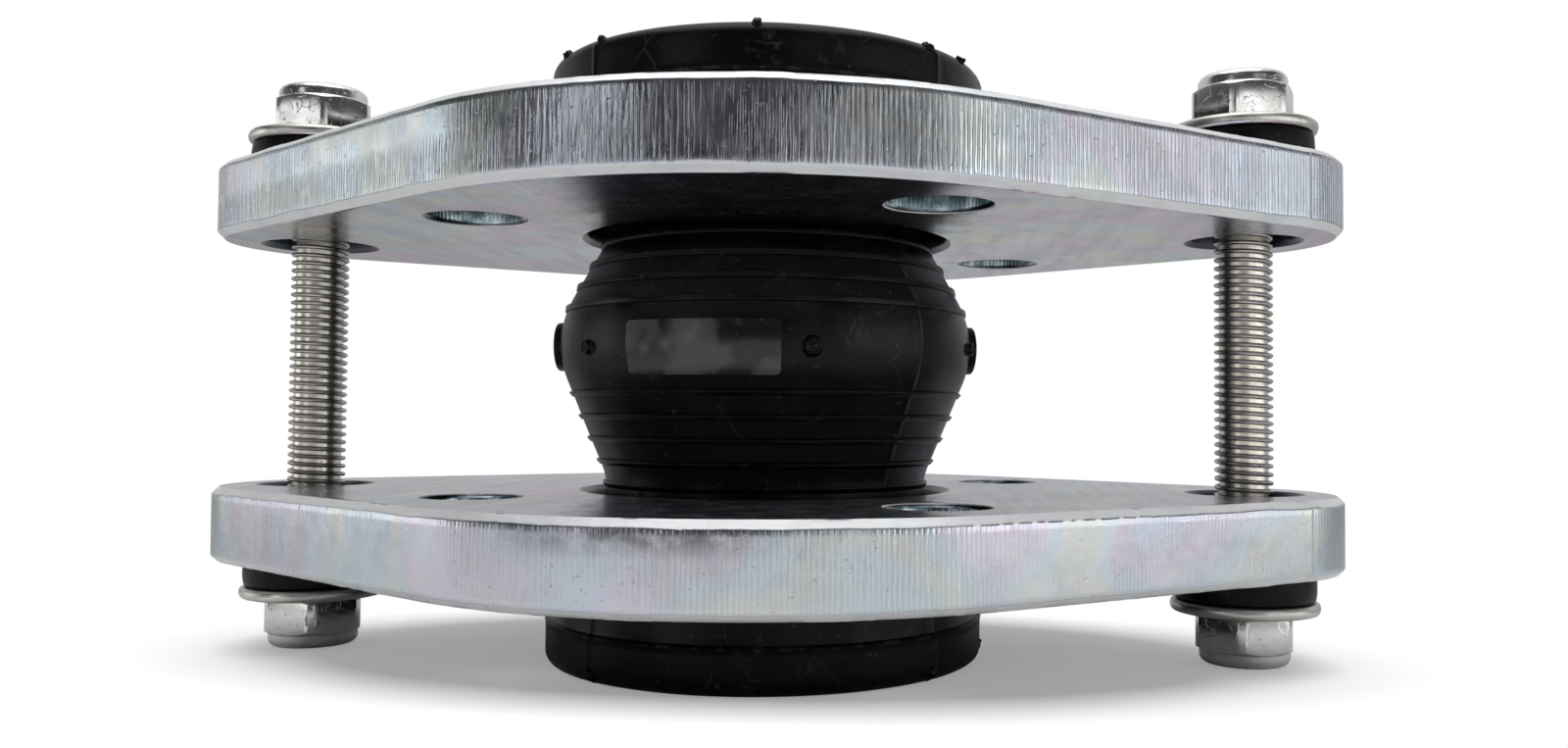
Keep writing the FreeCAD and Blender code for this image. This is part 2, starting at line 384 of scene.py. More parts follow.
inwards = put(ring_tree, "ShaderNodeVectorMath", {0: place, 1: (-1, -1, 0)}, operation="MULTIPLY")
ray = {"Target Geometry": given["Wall"], "Source Position": place, "Ray Direction": inwards}
ray = put(ring_tree, "GeometryNodeRaycast", ray | {"Ray Length": 0.05}).outputs
keep = put(ring_tree, "GeometryNodeCaptureAttribute", {"Geometry": hoops}, domain="POINT")
for title, found in (("Surface Normal", "Hit Normal"), ("Surface Point", "Hit Position")):
    keep.capture_items.new("VECTOR", title)
    feed(keep, {title: ray[found]})
kept = keep.outputs
shrunk = {"Geometry": kept["Geometry"], "Position": kept["Surface Point"]}
shrunk = put(ring_tree, "GeometryNodeSetPosition", shrunk)
leaning = {"Curve": shrunk, "Normal": kept["Surface Normal"]}
leaning = put(ring_tree, "GeometryNodeSetCurveNormal", leaning, mode="FREE")
profile = {
    "Height": plus(given["Ring Height"], given["Sunk Depth"]),
    "Bottom Width": given["Foot Width"],
    "Top Width": given["Crest Width"],
    "Offset": 0.0,
}
profile = put(ring_tree, "GeometryNodeCurvePrimitiveQuadrilateral", profile, mode="TRAPEZOID")
profile = {"Curve": profile, "Radius": given["Edge Rounding"], "Count": 3, "Limit Radius": True}
profile = put(ring_tree, "GeometryNodeFilletCurve", profile, mode="POLY")
profile_lift = times(minus(given["Ring Height"], given["Sunk Depth"]), 0.5)
profile = shifted(profile, Translation=vector(Y=profile_lift))
swept = {"Curve": leaning, "Profile Curve": profile, "Fill Caps": False}
swept = put(ring_tree, "GeometryNodeCurveToMesh", swept)
swept = put(ring_tree, "GeometryNodeSetShadeSmooth", {"Geometry": swept, "Shade Smooth": True})
end_tree(made, given, joined(swept, given["Wall"]))


# Shared effects: soft mottling, and short thin scratches that lie in all directions
mottle_tree, given, made = tree_group(
    "mottling",
    "ShaderNodeTree",
    [
        ("Place", "Vector", None),
        ("Size", "Float", 0.01),
        ("Detail", "Float", 4.0),
        ("Low", "Float", 0.4),
        ("High", "Float", 0.65),
    ],
    [("Mask", "Float"), ("Height", "Float")],
)
cloud = {"Vector": given["Place"], "Scale": calc("DIVIDE", 1.0, given["Size"]), "Detail": given["Detail"]}
cloud = put(mottle_tree, "ShaderNodeTexNoise", cloud | {"Roughness": 0.55})
feed(made, {"Mask": between(cloud, given["Low"], given["High"]), "Height": cloud})

scratch_tree, given, made = tree_group(
    "fine_scratches",
    "ShaderNodeTree",
    [
        ("Place", "Vector", None),
        ("Size", "Float", 0.004),
        ("Width", "Float", 0.04),
        ("Spread", "Float", 0.55),
    ],
    [("Mask", "Float")],
)
scale = calc("DIVIDE", 1.0, given["Size"])
bend = put(scratch_tree, "ShaderNodeTexNoise", {"Vector": given["Place"], "Scale": scale, "Detail": 2.0})
bent = {0: bend.outputs[1], 1: (0.002, 0.002, 0.002), 2: given["Place"]}
bent = put(scratch_tree, "ShaderNodeVectorMath", bent, operation="MULTIPLY_ADD")
cells = {"Vector": bent, "Scale": scale, "Randomness": 1.0}
cells = put(scratch_tree, "ShaderNodeTexVoronoi", cells, feature="DISTANCE_TO_EDGE")
line = between(cells.outputs["Distance"], 0.0, given["Width"], 1.0, 0.0)
places = {"Vector": given["Place"], "Scale": times(scale, 0.9), "Detail": 3.0}
places = put(scratch_tree, "ShaderNodeTexNoise", places)
spread = between(places, given["Spread"], plus(given["Spread"], 0.06))
feed(made, {"Mask": times(line, spread)})


def bare_tree(owner):
    """The empty node tree of a new material or world."""
    owner.use_nodes = True
    owner.node_tree.nodes.clear()
    return owner.node_tree


def new_material(name):
    """A material with an empty tree, its shader and the piece's own coordinates."""
    material = bpy.data.materials.new(name)
    tree = bare_tree(material)
    shader = tree.nodes.new("ShaderNodeBsdfPrincipled")
    put(tree, "ShaderNodeOutputMaterial", {0: shader})
    return material, shader, put(tree, "ShaderNodeTexCoord").outputs["Object"]


def effect(group, place, **values):
    """The outputs of a shared effect, placed in the tree that the place comes from."""
    return feed(put(place.id_data, "ShaderNodeGroup", node_tree=group), {"Place": place} | values).outputs


def bumped(shader, height, strength, distance):
    bump = {"Strength": strength, "Distance": distance, "Height": height}
    feed(shader, {"Normal": put(shader.id_data, "ShaderNodeBump", bump)})


def spot(place, centre, radius):
    """A mask that is one at a point of the piece and fades out at a radius from it."""
    away = put(place.id_data, "ShaderNodeVectorMath", {0: place, 1: centre}, operation="DISTANCE")
    return between(away.outputs["Value"], 0.0, radius, 1.0, 0.0)


def black_rubber(name, shade, chalky, roughness):
    """Vulcanised black rubber: chalky bloom in soft clouds, scuffs, and a fine grain."""
    material, shader, place = new_material(name)
    bloom = effect(mottle_tree, place, Size=0.022, Detail=6.0, Low=0.42, High=0.72)
    grain = effect(mottle_tree, place, Size=0.0006, Detail=3.0, Low=0.35, High=0.7)
    scuffs = effect(scratch_tree, place, Size=0.006, Width=0.025, Spread=0.58)
    flecks = effect(mottle_tree, place, Size=0.0016, Detail=2.0, Low=0.68, High=0.74)
    colour = mixed(times(bloom["Mask"], 0.8), shade, chalky)
    colour = mixed(times(scuffs["Mask"], 0.10), colour, (0.30, 0.29, 0.28, 1))
    colour = mixed(times(flecks["Mask"], 0.10), colour, (0.30, 0.30, 0.29, 1))
    rough = between(bloom["Height"], 0.3, 0.7, roughness - 0.07, roughness + 0.09)
    feed(shader, {"Roughness": rough, "Specular IOR Level": 0.18})
    bumped(shader, plus(grain["Height"], times(scuffs["Mask"], 0.8)), 0.22, 0.00010)
    return material, shader, place, colour


moulded_rubber, shader, place, colour = black_rubber(
    "moulded_rubber", (0.0016, 0.0016, 0.0017, 1), (0.0050, 0.0050, 0.0052, 1), 0.32
)
# Torn flash along both collar lips shows as light flecks, and handling has scuffed the front
lip_from_middle = 52.1 * mm
lip = apart(apart(axes(place)["Z"], face_to_face / 2), lip_from_middle)
torn = effect(mottle_tree, place, Size=0.0045, Detail=4.0, Low=0.50, High=0.56)
torn_lip = times(between(lip, 0.1 * mm, 0.4 * mm, 1.0, 0.0), torn["Mask"], 0.08)
colour = mixed(torn_lip, colour, (0.42, 0.42, 0.40, 1))
scuffed = effect(mottle_tree, place, Size=0.0022, Detail=5.0, Low=0.54, High=0.66)
for centre, radius, amount in (
    ((0.0065, -0.0449, 0.1165), 0.0045, 0.10),
    ((0.0050, -0.0453, 0.0085), 0.0045, 0.08),
    ((0.0180, -0.0420, 0.1160), 0.0100, 0.03),
    ((0.0235, -0.0350, 0.0680), 0.0085, 0.04),
    ((0.0150, -0.0430, 0.0060), 0.0090, 0.03),
):
    worn = times(spot(place, centre, radius), scuffed["Mask"], amount)
    colour = mixed(worn, colour, (0.5, 0.49, 0.47, 1))
feed(shader, {"Base Color": colour})

# The raised rings of each part: height of the first, pitch and number, lengths in millimetres
ring_sets = {
    "lower_bulge": [(36.4, 4.65, 3)],
    "middle_band": [(50.2, 4.67, 2), (72.1, 4.45, 2)],
    "upper_bulge": [(81.0, 4.45, 2)],
}
bellows_pieces = {}
for part, (points, faces) in bellows_meshes.items():
    piece = smooth_object("bellows_" + part, points, faces)
    piece.data.materials.append(moulded_rubber)
    for first, pitch, count in ring_sets.get(part, []):
        sizes = {"First Height": first * mm, "Ring Pitch": pitch * mm, "Ring Count": count}
        run_tree(piece, ring_tree, sizes | {"Material": moulded_rubber})
    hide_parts("rubber_bellows")
    bellows_pieces[part] = piece
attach(bellows_pieces["lower_neck"], "lower_end")
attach(bellows_pieces["upper_neck"], "upper_end")


def give(piece):
    """Bakes the piece's placement into its points; it stays where it is."""
    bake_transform(piece)


give(bellows_pieces["lower_bulge"])
give(bellows_pieces["middle_band"])
give(bellows_pieces["upper_bulge"])

# Vent stubs. Rubber that was pressed into the mould's vents and torn off: short rough cones on the
# outer edge of each collar, part of the moulding.
stub_tree, given, made = tree_group(
    "vent_stubs",
    "GeometryNodeTree",
    [
        ("Places", "Geometry", None),
        ("Stub Width", "Float", 0.0022),
        ("Stub Height", "Float", 0.0015),
        ("Roughness", "Float", 0.0004),
        ("Seed", "Int", 7),
        ("Material", "Material", None),
    ],
    [("Stubs", "Geometry")],
)


def read_attribute(tree, name, kind="FLOAT"):
    return put(tree, "GeometryNodeInputNamedAttribute", {"Name": name}, data_type=kind).outputs["Attribute"]


half_width = times(given["Stub Width"], 0.5)
cone = {
    "Vertices": 20,
    "Side Segments": 6,
    "Fill Segments": 3,
    "Radius Top": times(half_width, 0.62),
    "Radius Bottom": times(half_width, 1.1),
    "Depth": given["Stub Height"],
}
cone = put(stub_tree, "GeometryNodeMeshCone", cone)
lean = read_attribute(stub_tree, "outwards", "FLOAT_VECTOR")
aim = put(stub_tree, "FunctionNodeAlignRotationToVector", {"Vector": lean}, axis="Z")
size = {"Seed": given["Seed"], 0: (0.8, 0.8, 0.6), 1: (1.2, 1.1, 1.15)}
size = put(stub_tree, "FunctionNodeRandomValue", size, data_type="FLOAT_VECTOR")
stubs = {"Points": given["Places"], "Instance": cone, "Rotation": aim, "Scale": size}
stubs = put(stub_tree, "GeometryNodeInstanceOnPoints", stubs)
stubs = put(stub_tree, "GeometryNodeRealizeInstances", {"Geometry": stubs})
place = put(stub_tree, "GeometryNodeInputPosition")
torn = put(stub_tree, "ShaderNodeTexNoise", {"Vector": place, "Scale": 1100.0, "Detail": 2.0})
shove = {0: torn.outputs[1], 1: (0.5, 0.5, 0.5)}
shove = put(stub_tree, "ShaderNodeVectorMath", shove, operation="SUBTRACT")
shove = {0: shove, "Scale": times(given["Roughness"], 3.0)}
shove = put(stub_tree, "ShaderNodeVectorMath", shove, operation="SCALE")
stubs = put(stub_tree, "GeometryNodeSetPosition", {"Geometry": stubs, "Offset": shove})
stubs = put(stub_tree, "GeometryNodeSetShadeSmooth", {"Geometry": stubs, "Shade Smooth": True})
end_tree(made, given, stubs)

# Where they stand on each end: directions, distance from the axis, height, and how far they lean upwards
stub_places = {
    "upper": ([-84.3, -126.8, -38.3, -144.5, -23.0, 8.0, 52.0, 96.0, 141.0], 44.4 * mm, 121.3 * mm, 0.8),
    "lower": ([-84.3, -127.0, -37.0, 8.0, 52.0, 96.0, 141.0], 45.3 * mm, 1.9 * mm, -0.15),
}
short_stubs = (-144.5, -23.0, 8.0)
for end, (directions, radius, height, rise) in stub_places.items():
    ways, places = [], []
    for direction in directions:
        angle = math.radians(direction)
        flat = math.sqrt(1 - rise**2)
        way = Vector((flat * math.cos(angle), flat * math.sin(angle), rise))
        sunk = 0.8 * mm if direction in short_stubs else 0.2 * mm
        places.append(Vector((radius * math.cos(angle), radius * math.sin(angle), height)) - way * sunk)
        ways.extend(way)
    piece = smooth_object(end + "_vent_stubs", places, [])
    piece.data.attributes.new("outwards", "FLOAT_VECTOR", "POINT").data.foreach_set("vector", ways)
    piece.data.materials.append(moulded_rubber)
    run_tree(piece, stub_tree, {"Material": moulded_rubber})
    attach(piece, end + "_end")

# Film label. A strip of thin clear film stuck on the front of the bulge, left bare here. It is smoother
# than the rubber under it, so that it catches the light.
film_radius, film_height, film_direction = 43.0 * mm, 62.9 * mm, math.radians(-98.25)
film_half_width, film_half_height, film_corner = film_radius * math.radians(20.4), 5.1 * mm, 0.9 * mm
film_step, film_gap = 0.8 * mm, 0.13 * mm


def film_outline():
    """A rectangle with small rounded corners, as steps along the wall and up it."""
    corners = []
    for turn in range(4):
        cx = (film_half_width - film_corner) * (1 if turn in (0, 3) else -1)
        cz = (film_half_height - film_corner) * (1 if turn in (0, 1) else -1)
        for angle in quarter(5):
            angle += turn * math.pi / 2
            corners.append((cx + film_corner * math.cos(angle), cz + film_corner * math.sin(angle)))
    outline = []
    for (x0, z0), (x1, z1) in zip(corners, corners[1:] + corners[:1]):
        steps = max(1, round(math.hypot(x1 - x0, z1 - z0) / film_step))
        outline += [(x0 + (x1 - x0) * n / steps, z0 + (z1 - z0) * n / steps) for n in range(steps)]
    return outline


film_edge, film_points = film_outline(), []
film_rings = [(1.0, -0.15), (1.0, 0.03), (0.998, 0.06)] + [(1 - n / 9, 0.07) for n in range(1, 9)]
for scale, lift in film_rings:
    for x, z in film_edge:
        angle = film_direction + x * scale / film_radius
        height = film_height + z * scale
        bubble = noise.noise(Vector((x * scale * 160, z * scale * 160, 3.7))) * 0.03 * mm
        radius = wall_radius(height) + film_gap + lift * mm + (bubble if scale < 0.95 else 0)
        film_points.append(Vector((radius * math.cos(angle), radius * math.sin(angle), height)))
count = len(film_edge)
middles = [sum(row, Vector()) / count for row in (film_points[-count:], film_points[:count])]
film_faces = skin(len(film_rings), count) + fans(len(film_rings), count)

clear_film, shader, place = new_material("clear_film")
wrinkle = effect(mottle_tree, place, Size=0.009, Detail=2.0, Low=0.43, High=0.53)
dust = effect(mottle_tree, place, Size=0.0008, Detail=2.0, Low=0.66, High=0.72)
colour = mixed(wrinkle["Mask"], (0.014, 0.014, 0.015, 1), (0.085, 0.086, 0.088, 1))
colour = mixed(times(dust["Mask"], 0.15), colour, (0.3, 0.3, 0.3, 1))
feed(shader, {"Base Color": colour, "Roughness": between(wrinkle["Height"], 0.3, 0.7, 0.16, 0.30)})
bumped(shader, wrinkle["Height"], 0.25, 0.0002)
film = smooth_object("film_label", film_points + middles, film_faces)
film.data.materials.append(clear_film)
give(film)

# Flanges. Two flame-cut steel plates, zinc plated and passivated: a disc with two round ears. The torch
# left drag lines down the rim, and the inner edge was ground to a wide chamfer, whose near-white colour is
# partly a painted highlight.
flange_radius, ear_reach, ear_radius = 82.5 * mm, 119.3 * mm, 27.5 * mm
plate_low, rod_offset = 19.4 * mm, 100 * mm
outline_step = 0.55 * mm
# These are in millimetres
plate_thick, chamfer = 15.5, 1.5
bore, bolt_hole, rod_hole = 38.0, 9.0, 11.0
bolt_circle, first_bolt = 62.5, 37


def flange_outline():
    """Points of the plate's outline with their outward direction, one for each step of its length."""
    ear_centre = ear_reach - ear_radius
    flank = math.acos((flange_radius - ear_radius) / ear_centre)
    runs = []
    for ear in (0.0, math.pi):
        middle = Vector((math.cos(ear), math.sin(ear))) * ear_centre
        for centre, radius, begin, end in (
            (middle, ear_radius, ear - flank, ear + flank),
            (Vector((0, 0)), flange_radius, ear + flank, ear + math.pi - flank),
        ):
            count = max(2, round(radius * (end - begin) / outline_step))
            for n in range(count + 1):
                angle = begin + (end - begin) * n / count
                way = Vector((math.cos(angle), math.sin(angle)))
                runs.append((centre + way * radius, way))
    filled = []
    for (p, n), (q, m) in zip(runs, runs[1:] + runs[:1]):
        pieces = max(1, round((q - p).length / outline_step))
        filled += [(p.lerp(q, i / pieces), n.lerp(m, i / pieces).normalized()) for i in range(pieces)]
    return filled


def rim_profile():
    """Inset and rise of each row of points up the rim: a worn edge, the cut face, the ground chamfer."""
    profile = [(1.9, 0.0), (1.45, 0.0), (1.2, 0.06), (0.6, 0.62), (0.1, 1.12), (0.0, 1.35)]
    profile += [(0.0, 2.2 + n * 0.96) for n in range(12)]
    foot = plate_thick - chamfer
    profile += [(0.0, foot - 0.25), (0.08, foot + 0.05)]
    profile += [(chamfer * n / 4, foot + chamfer * n / 4) for n in (1, 2, 3)]
    profile += [(chamfer - 0.1, plate_thick - 0.07)]
    return profile + [(chamfer + 0.3, plate_thick), (chamfer + 1.0, plate_thick)]


def torch_marks(run, rise, seed):
    """How deep the torch cut into the rim at a place on it, and how far the rim's edges wander there."""

    def rough(x, y, layer):
        return noise.noise(Vector((x, y, seed * 17.0 + layer)))

    share = rise / plate_thick
    depth = -0.05 * rough(run * 0.05, rise * 0.08, 9) if 0 < share < 1 else 0.0
    if 0.05 < share < 0.9:
        drag = rough(run * 1.15 + 0.12 * rise, rise * 0.05, 0) + 0.6 * rough(run * 2.3, rise * 0.09, 5)
        patch = max(0.0, min(1.0, 0.5 + 1.6 * rough(run * 0.022, 0.4, 1)))
        depth += max(0.0, 0.03 * drag + 0.012) * (0.25 + 0.75 * share) * patch
    wave = rough(run * 0.09, 0.0, 3) + 0.4 * rough(run * 0.4, 0.0, 4)
    on_chamfer, on_worn_edge = 13.5 < rise < 15.3, 0.05 < rise < 1.4
    return depth, wave * (-0.22 if on_chamfer else 0.15 if on_worn_edge else 0.0)


def hole_profile(radius, outer_mouth, inner_mouth):
    """Radius and rise of each row of points up a hole, whose mouths are a little wider than the rest."""
    top = plate_thick - inner_mouth
    profile = [(radius + outer_mouth + 0.25, 0.0), (radius + outer_mouth, 0.03)]
    profile += [(radius + outer_mouth * 0.12, outer_mouth * 0.88), (radius, outer_mouth + 0.15)]
    profile += [(radius, outer_mouth + 0.15 + (top - outer_mouth - 0.3) * n / 4) for n in range(1, 5)]
    profile += [(radius + inner_mouth * 0.12, top + inner_mouth * 0.12)]
    profile += [(radius + inner_mouth, plate_thick - 0.03)]
    return profile + [(radius + inner_mouth + 0.25, plate_thick)]


def flat_fill(points, loops, faces_up):
    """Faces that fill a flat side of the plate between its outline, the first loop, and its holes.

    The outline is taken as a little bowed, so that no face gets all its corners on one of its straight
    flanks, and the faces inside a hole are left out.
    """
    bow_share, half_length = 0.0003, ear_reach * 1000
    used, edges, loop_of = [], [], {}
    for number, loop in enumerate(loops):
        edges += [(len(used) + n, len(used) + (n + 1) % len(loop)) for n in range(len(loop))]
        loop_of.update((index, number) for index in loop)
        used += loop
    flat = []
    for index in used:
        x, y = points[index][0] * 1000, points[index][1] * 1000
        bow = bow_share * (half_length**2 - x**2) if loop_of[index] == 0 else 0.0
        flat.append(Vector((x, y + math.copysign(bow, y))))
    whole_outline, gap, keep_origins = 0, 1e-7, True
    found = delaunay_2d_cdt(flat, edges, [], whole_outline, gap, keep_origins)
    places, found_faces, origins = found[0], found[2], found[3]
    faces = []
    for face in found_faces:
        corners = [used[origins[corner][0]] for corner in face]
        on_loops = {loop_of[corner] for corner in corners}
        if len(on_loops) == 1 and on_loops != {0}:
            continue
        a, b, c = (places[corner] for corner in face)
        points_up = (b - a).cross(c - a) > 0
        faces.append(tuple(corners if points_up == faces_up else corners[::-1]))
    return faces


def flange_mesh(seed):
    """The lower plate: points, faces, where each point is along and up its wall, and marks of the worn
    bolt-hole walls and of the painted shade on the other hole walls.
    """
    outline, rim = flange_outline(), rim_profile()
    count = len(outline)
    steps = [(q - p).length for (p, _), (q, _) in zip(outline, outline[1:])]
    lengths = list(itertools.accumulate(steps, initial=0.0))
    points, runs, wall_wear_and_shade_marks = [], [], []
    for inset, rise in rim:
        for length, (place, way) in zip(lengths, outline):
            depth, wander = torch_marks(length * 1000, rise, seed)
            x, y = place - way * (inset + depth) * mm
            points.append((x, y, plate_low + (rise + wander) * mm))
            runs.append((length, rise * mm))
            wall_wear_and_shade_marks.append(0.0)
    faces = skin(len(rim), count)
    lower_loops, upper_loops = [list(range(count))], [list(range((len(rim) - 1) * count, len(rim) * count))]
    holes = [(0.0, 0.0, bore, 1.0, 1.0, 176)]
    for angle in (math.radians(first_bolt + 90 * number) for number in range(4)):
        x, y = bolt_circle * math.cos(angle), bolt_circle * math.sin(angle)
        holes.append((x, y, bolt_hole, 0.3, 0.8, 72))
    holes += [(-100.0, 0.0, rod_hole, 1.0, 1.0, 80), (100.0, 0.0, rod_hole, 1.0, 1.0, 80)]
    for x, y, radius, outer_mouth, inner_mouth, steps in holes:
        profile = hole_profile(radius, outer_mouth, inner_mouth)
        first = len(points)
        for wide, rise in profile:
            for angle in (math.tau * step / steps for step in range(steps)):
                cos, sin = math.cos(angle), math.sin(angle)
                uneven = noise.noise(Vector((x + cos * radius, y + sin * radius, rise * 0.4)) * 0.5)
                reach = wide + (0.05 * uneven if 0.1 < rise < 15.4 else 0.0)
                points.append(((x + reach * cos) * mm, (y + reach * sin) * mm, plate_low + rise * mm))
                runs.append((angle * radius * mm, rise * mm))
                # One marks the worn walls of the bolt holes. A half marks the walls of the rod holes and
                # the bore, which the plate's material darkens as painted shade.
                if radius == bolt_hole:
                    wall_wear_and_shade_marks.append(1.0 if 0.5 < rise < 15.0 else 0.0)
                else:
                    wall_wear_and_shade_marks.append(0.5 if 0.01 < rise < 15.49 else 0.0)
        faces += [(b, a, d, c) for a, b, c, d in skin(len(profile), steps, first)]
        lower_loops.append(list(range(first, first + steps)))
        upper_loops.append(list(range(len(points) - steps, len(points))))
    faces += flat_fill(points, lower_loops, False) + flat_fill(points, upper_loops, True)
    return points, faces, runs, wall_wear_and_shade_marks


plated_steel, shader, place = new_material("plated_steel")
tree, at = plated_steel.node_tree, axes(place)
run = put(tree, "ShaderNodeUVMap", uv_map="rim_run")
facing = apart(axes(put(tree, "ShaderNodeNewGeometry").outputs["Normal"])["Z"])
flat_face = between(facing, 0.85, 0.97)
side_face = between(facing, 0.15, 0.5, 1.0, 0.0)
upper = between(at["Z"], 0.060, 0.061)
front = between(at["Y"], -0.04, -0.05)
clouds = effect(mottle_tree, place, Size=0.006, Detail=6.0, Low=0.35, High=0.7)
pits = effect(mottle_tree, place, Size=0.0011, Detail=3.0, Low=0.66, High=0.74)
marks = effect(scratch_tree, place, Size=0.009, Width=0.014, Spread=0.52)

# The faint colours of the passivated zinc, which a rolled grain crosses on the flat sides
hues = put(tree, "ShaderNodeTexNoise", {"Vector": place, "Scale": 26.0, "Detail": 3.0, "Distortion": 0.5})
tints = (
    (0.30, (0.55, 0.605, 0.66, 1)),
    (0.38, (0.575, 0.60, 0.745, 1)),
    (0.45, (0.725, 0.565, 0.67, 1)),
    (0.52, (0.575, 0.675, 0.75, 1)),
    (0.58, (0.725, 0.685, 0.57, 1)),
    (0.64, (0.555, 0.675, 0.735, 1)),
    (0.72, (0.57, 0.64, 0.68, 1)),
)
tint = put(tree, "ShaderNodeValToRGB", {0: hues})
stops = tint.color_ramp.elements
stops[0].position, stops[0].color = tints[0]
stops[1].position, stops[1].color = tints[-1]
for position, shade in tints[1:-1]:
    stops.new(position).color = shade
grained = put(tree, "ShaderNodeMapping", {"Vector": place, "Scale": (1.0, 0.10, 1.0)})
rolled = put(tree, "ShaderNodeTexNoise", {"Vector": grained, "Scale": 320.0, "Detail": 4.0})
colour = mixed(between(flat_face, 0.0, 1.0, 0.52, 0.10), tint, (0.575, 0.64, 0.695, 1))
colour = mixed(times(clouds["Mask"], 0.25), colour, (0.69, 0.71, 0.73, 1))
colour = mixed(times(flat_face, between(rolled, 0.42, 0.68, 0.0, 0.55)), colour, (0.40, 0.38, 0.50, 1))

# The torch's drag lines down the rim, strongest at the upper plate's front right and front left
long_run = {"Vector": run, "Scale": (1.0, 0.09, 1.0), "Rotation": (0, 0, 0.012)}
long_run = put(tree, "ShaderNodeMapping", long_run)
drag = {"Distortion": 5.0, "Detail": 3.0, "Detail Scale": 1.6, "Detail Roughness": 0.6}
drag = put(tree, "ShaderNodeTexWave", drag | {"Vector": long_run, "Scale": 350.0}).outputs["Fac"]
drag_where = effect(mottle_tree, run, Size=0.028, Detail=3.0, Low=0.40, High=0.62)
right_front = times(between(at["X"], 0.002, 0.020), between(at["Z"], 0.0955, 0.1005, 1.0, 0.35))
left_foot = times(between(at["X"], -0.030, -0.042), between(at["Z"], 0.0925, 0.0965, 1.0, 0.0))
strong = times(calc("MAXIMUM", right_front, left_foot), upper)
strong = times(strong, between(drag_where["Height"], 0.30, 0.55, 0.35, 1.0))
strong = calc("MAXIMUM", strong, times(drag_where["Mask"], 0.35))
drag_line = times(between(drag, 0.25, 0.80), side_face, strong)
colour = mixed(times(drag_line, 0.45), colour, (0.24, 0.26, 0.28, 1))

# A darker mottled patch on the lower rim's front, painted shade on the upper rim's middle front that stands
# for a dark reflection, pits and pale scratches
# The lower rim's front is made darker and mottled in its middle, near its top edge.
darker_lower_front = times(between(at["Z"], 0.0285, 0.0318), between(at["Z"], 0.040, 0.041, 1.0, 0.0))
darker_lower_front = times(darker_lower_front, side_face, front, between(apart(at["X"], -0.008), 0.010, 0.024, 1.0, 0.0))
darker_lower_front = times(darker_lower_front, between(clouds["Height"], 0.38, 0.52, 0.15, 0.8))
colour = mixed(darker_lower_front, colour, (0.16, 0.16, 0.17, 1))
# Painted shade on the middle of the upper rim's front, standing for the dark reflection there.
painted_dark_reflection = times(between(apart(at["X"], 0.009), 0.014, 0.034, 0.55, 0.0), upper, front, side_face)
colour = mixed(painted_dark_reflection, colour, (0.20, 0.19, 0.21, 1))
colour = mixed(times(pits["Mask"], 0.35), colour, (0.30, 0.31, 0.33, 1))
colour = mixed(times(marks["Mask"], 0.35), colour, (0.74, 0.75, 0.76, 1))

# The ground chamfer, paler steel and partly a painted highlight, the worn walls of the bolt holes, and
# painted shade on the walls of the rod holes and the bore
hole_wall = put(tree, "ShaderNodeAttribute", attribute_name="bolt_wall").outputs["Fac"]
wall_wear_and_shade = between(hole_wall, 0.2, 0.4)
ground_and_highlight = times(between(facing, 0.48, 0.60), between(facing, 0.82, 0.92, 1.0, 0.0), minus(1.0, wall_wear_and_shade))
# The chamfer is paler ground steel, and its near-white colour is partly a painted highlight.
colour = mixed(times(ground_and_highlight, between(clouds["Height"], 0.3, 0.5, 0.6, 0.95)), colour, (0.88, 0.89, 0.90, 1))
wall_colour = mixed(between(clouds["Height"], 0.50, 0.62), (0.13, 0.20, 0.23, 1), (0.66, 0.78, 0.83, 1))
# Painted shade: the walls of the rod holes and the bore are darkened to near black.
wall_colour = mixed(between(hole_wall, 0.6, 0.8, 1.0, 0.0), wall_colour, (0.012, 0.016, 0.018, 1))
colour = mixed(times(wall_wear_and_shade, 0.9), colour, wall_colour)
rough = plus(between(clouds["Height"], 0.3, 0.7, 0.19, 0.32), times(drag_line, 0.10), times(ground_and_highlight, 0.15))
feed(shader, {"Base Color": colour, "Roughness": rough, "Metallic": minus(1.0, times(ground_and_highlight, 0.6))})

# Relief: drag lines and fine wrinkles on the rim, pits, and the grain of the rolled plate
wrinkles = {"Vector": long_run, "Scale": 800.0, "Detail": 3.0, "Distortion": 1.2}
wrinkles = put(tree, "ShaderNodeTexNoise", wrinkles)
middle_front = times(between(apart(at["X"]), 0.020, 0.045, 1.0, 0.25), side_face)
height = plus(times(drag_line, 2.2), times(wrinkles, middle_front, 2.4), times(clouds["Height"], 0.9))
height = minus(plus(height, times(rolled, 0.35)), times(pits["Mask"], 0.6))
bumped(shader, height, 0.5, 0.00012)

for end, seed in (("lower", 1), ("upper", 2)):
    points, faces, runs, wall_wear_and_shade_marks = flange_mesh(seed)
    if end == "upper":
        points = [(x, y, face_to_face - z) for x, y, z in points]
        faces = [face[::-1] for face in faces]
    plate = smooth_object(end + "_plate", points, faces, 30)
    layer = plate.data.uv_layers.new(name="rim_run")
    corner_points = [0] * len(plate.data.loops)
    plate.data.loops.foreach_get("vertex_index", corner_points)
    layer.data.foreach_set("uv", [value for index in corner_points for value in runs[index]])
    plate.data.attributes.new("bolt_wall", "FLOAT", "POINT").data.foreach_set("value", wall_wear_and_shade_marks)
    plate.data.materials.append(plated_steel)
    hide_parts(end + "_flange")
    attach(plate, end + "_end")

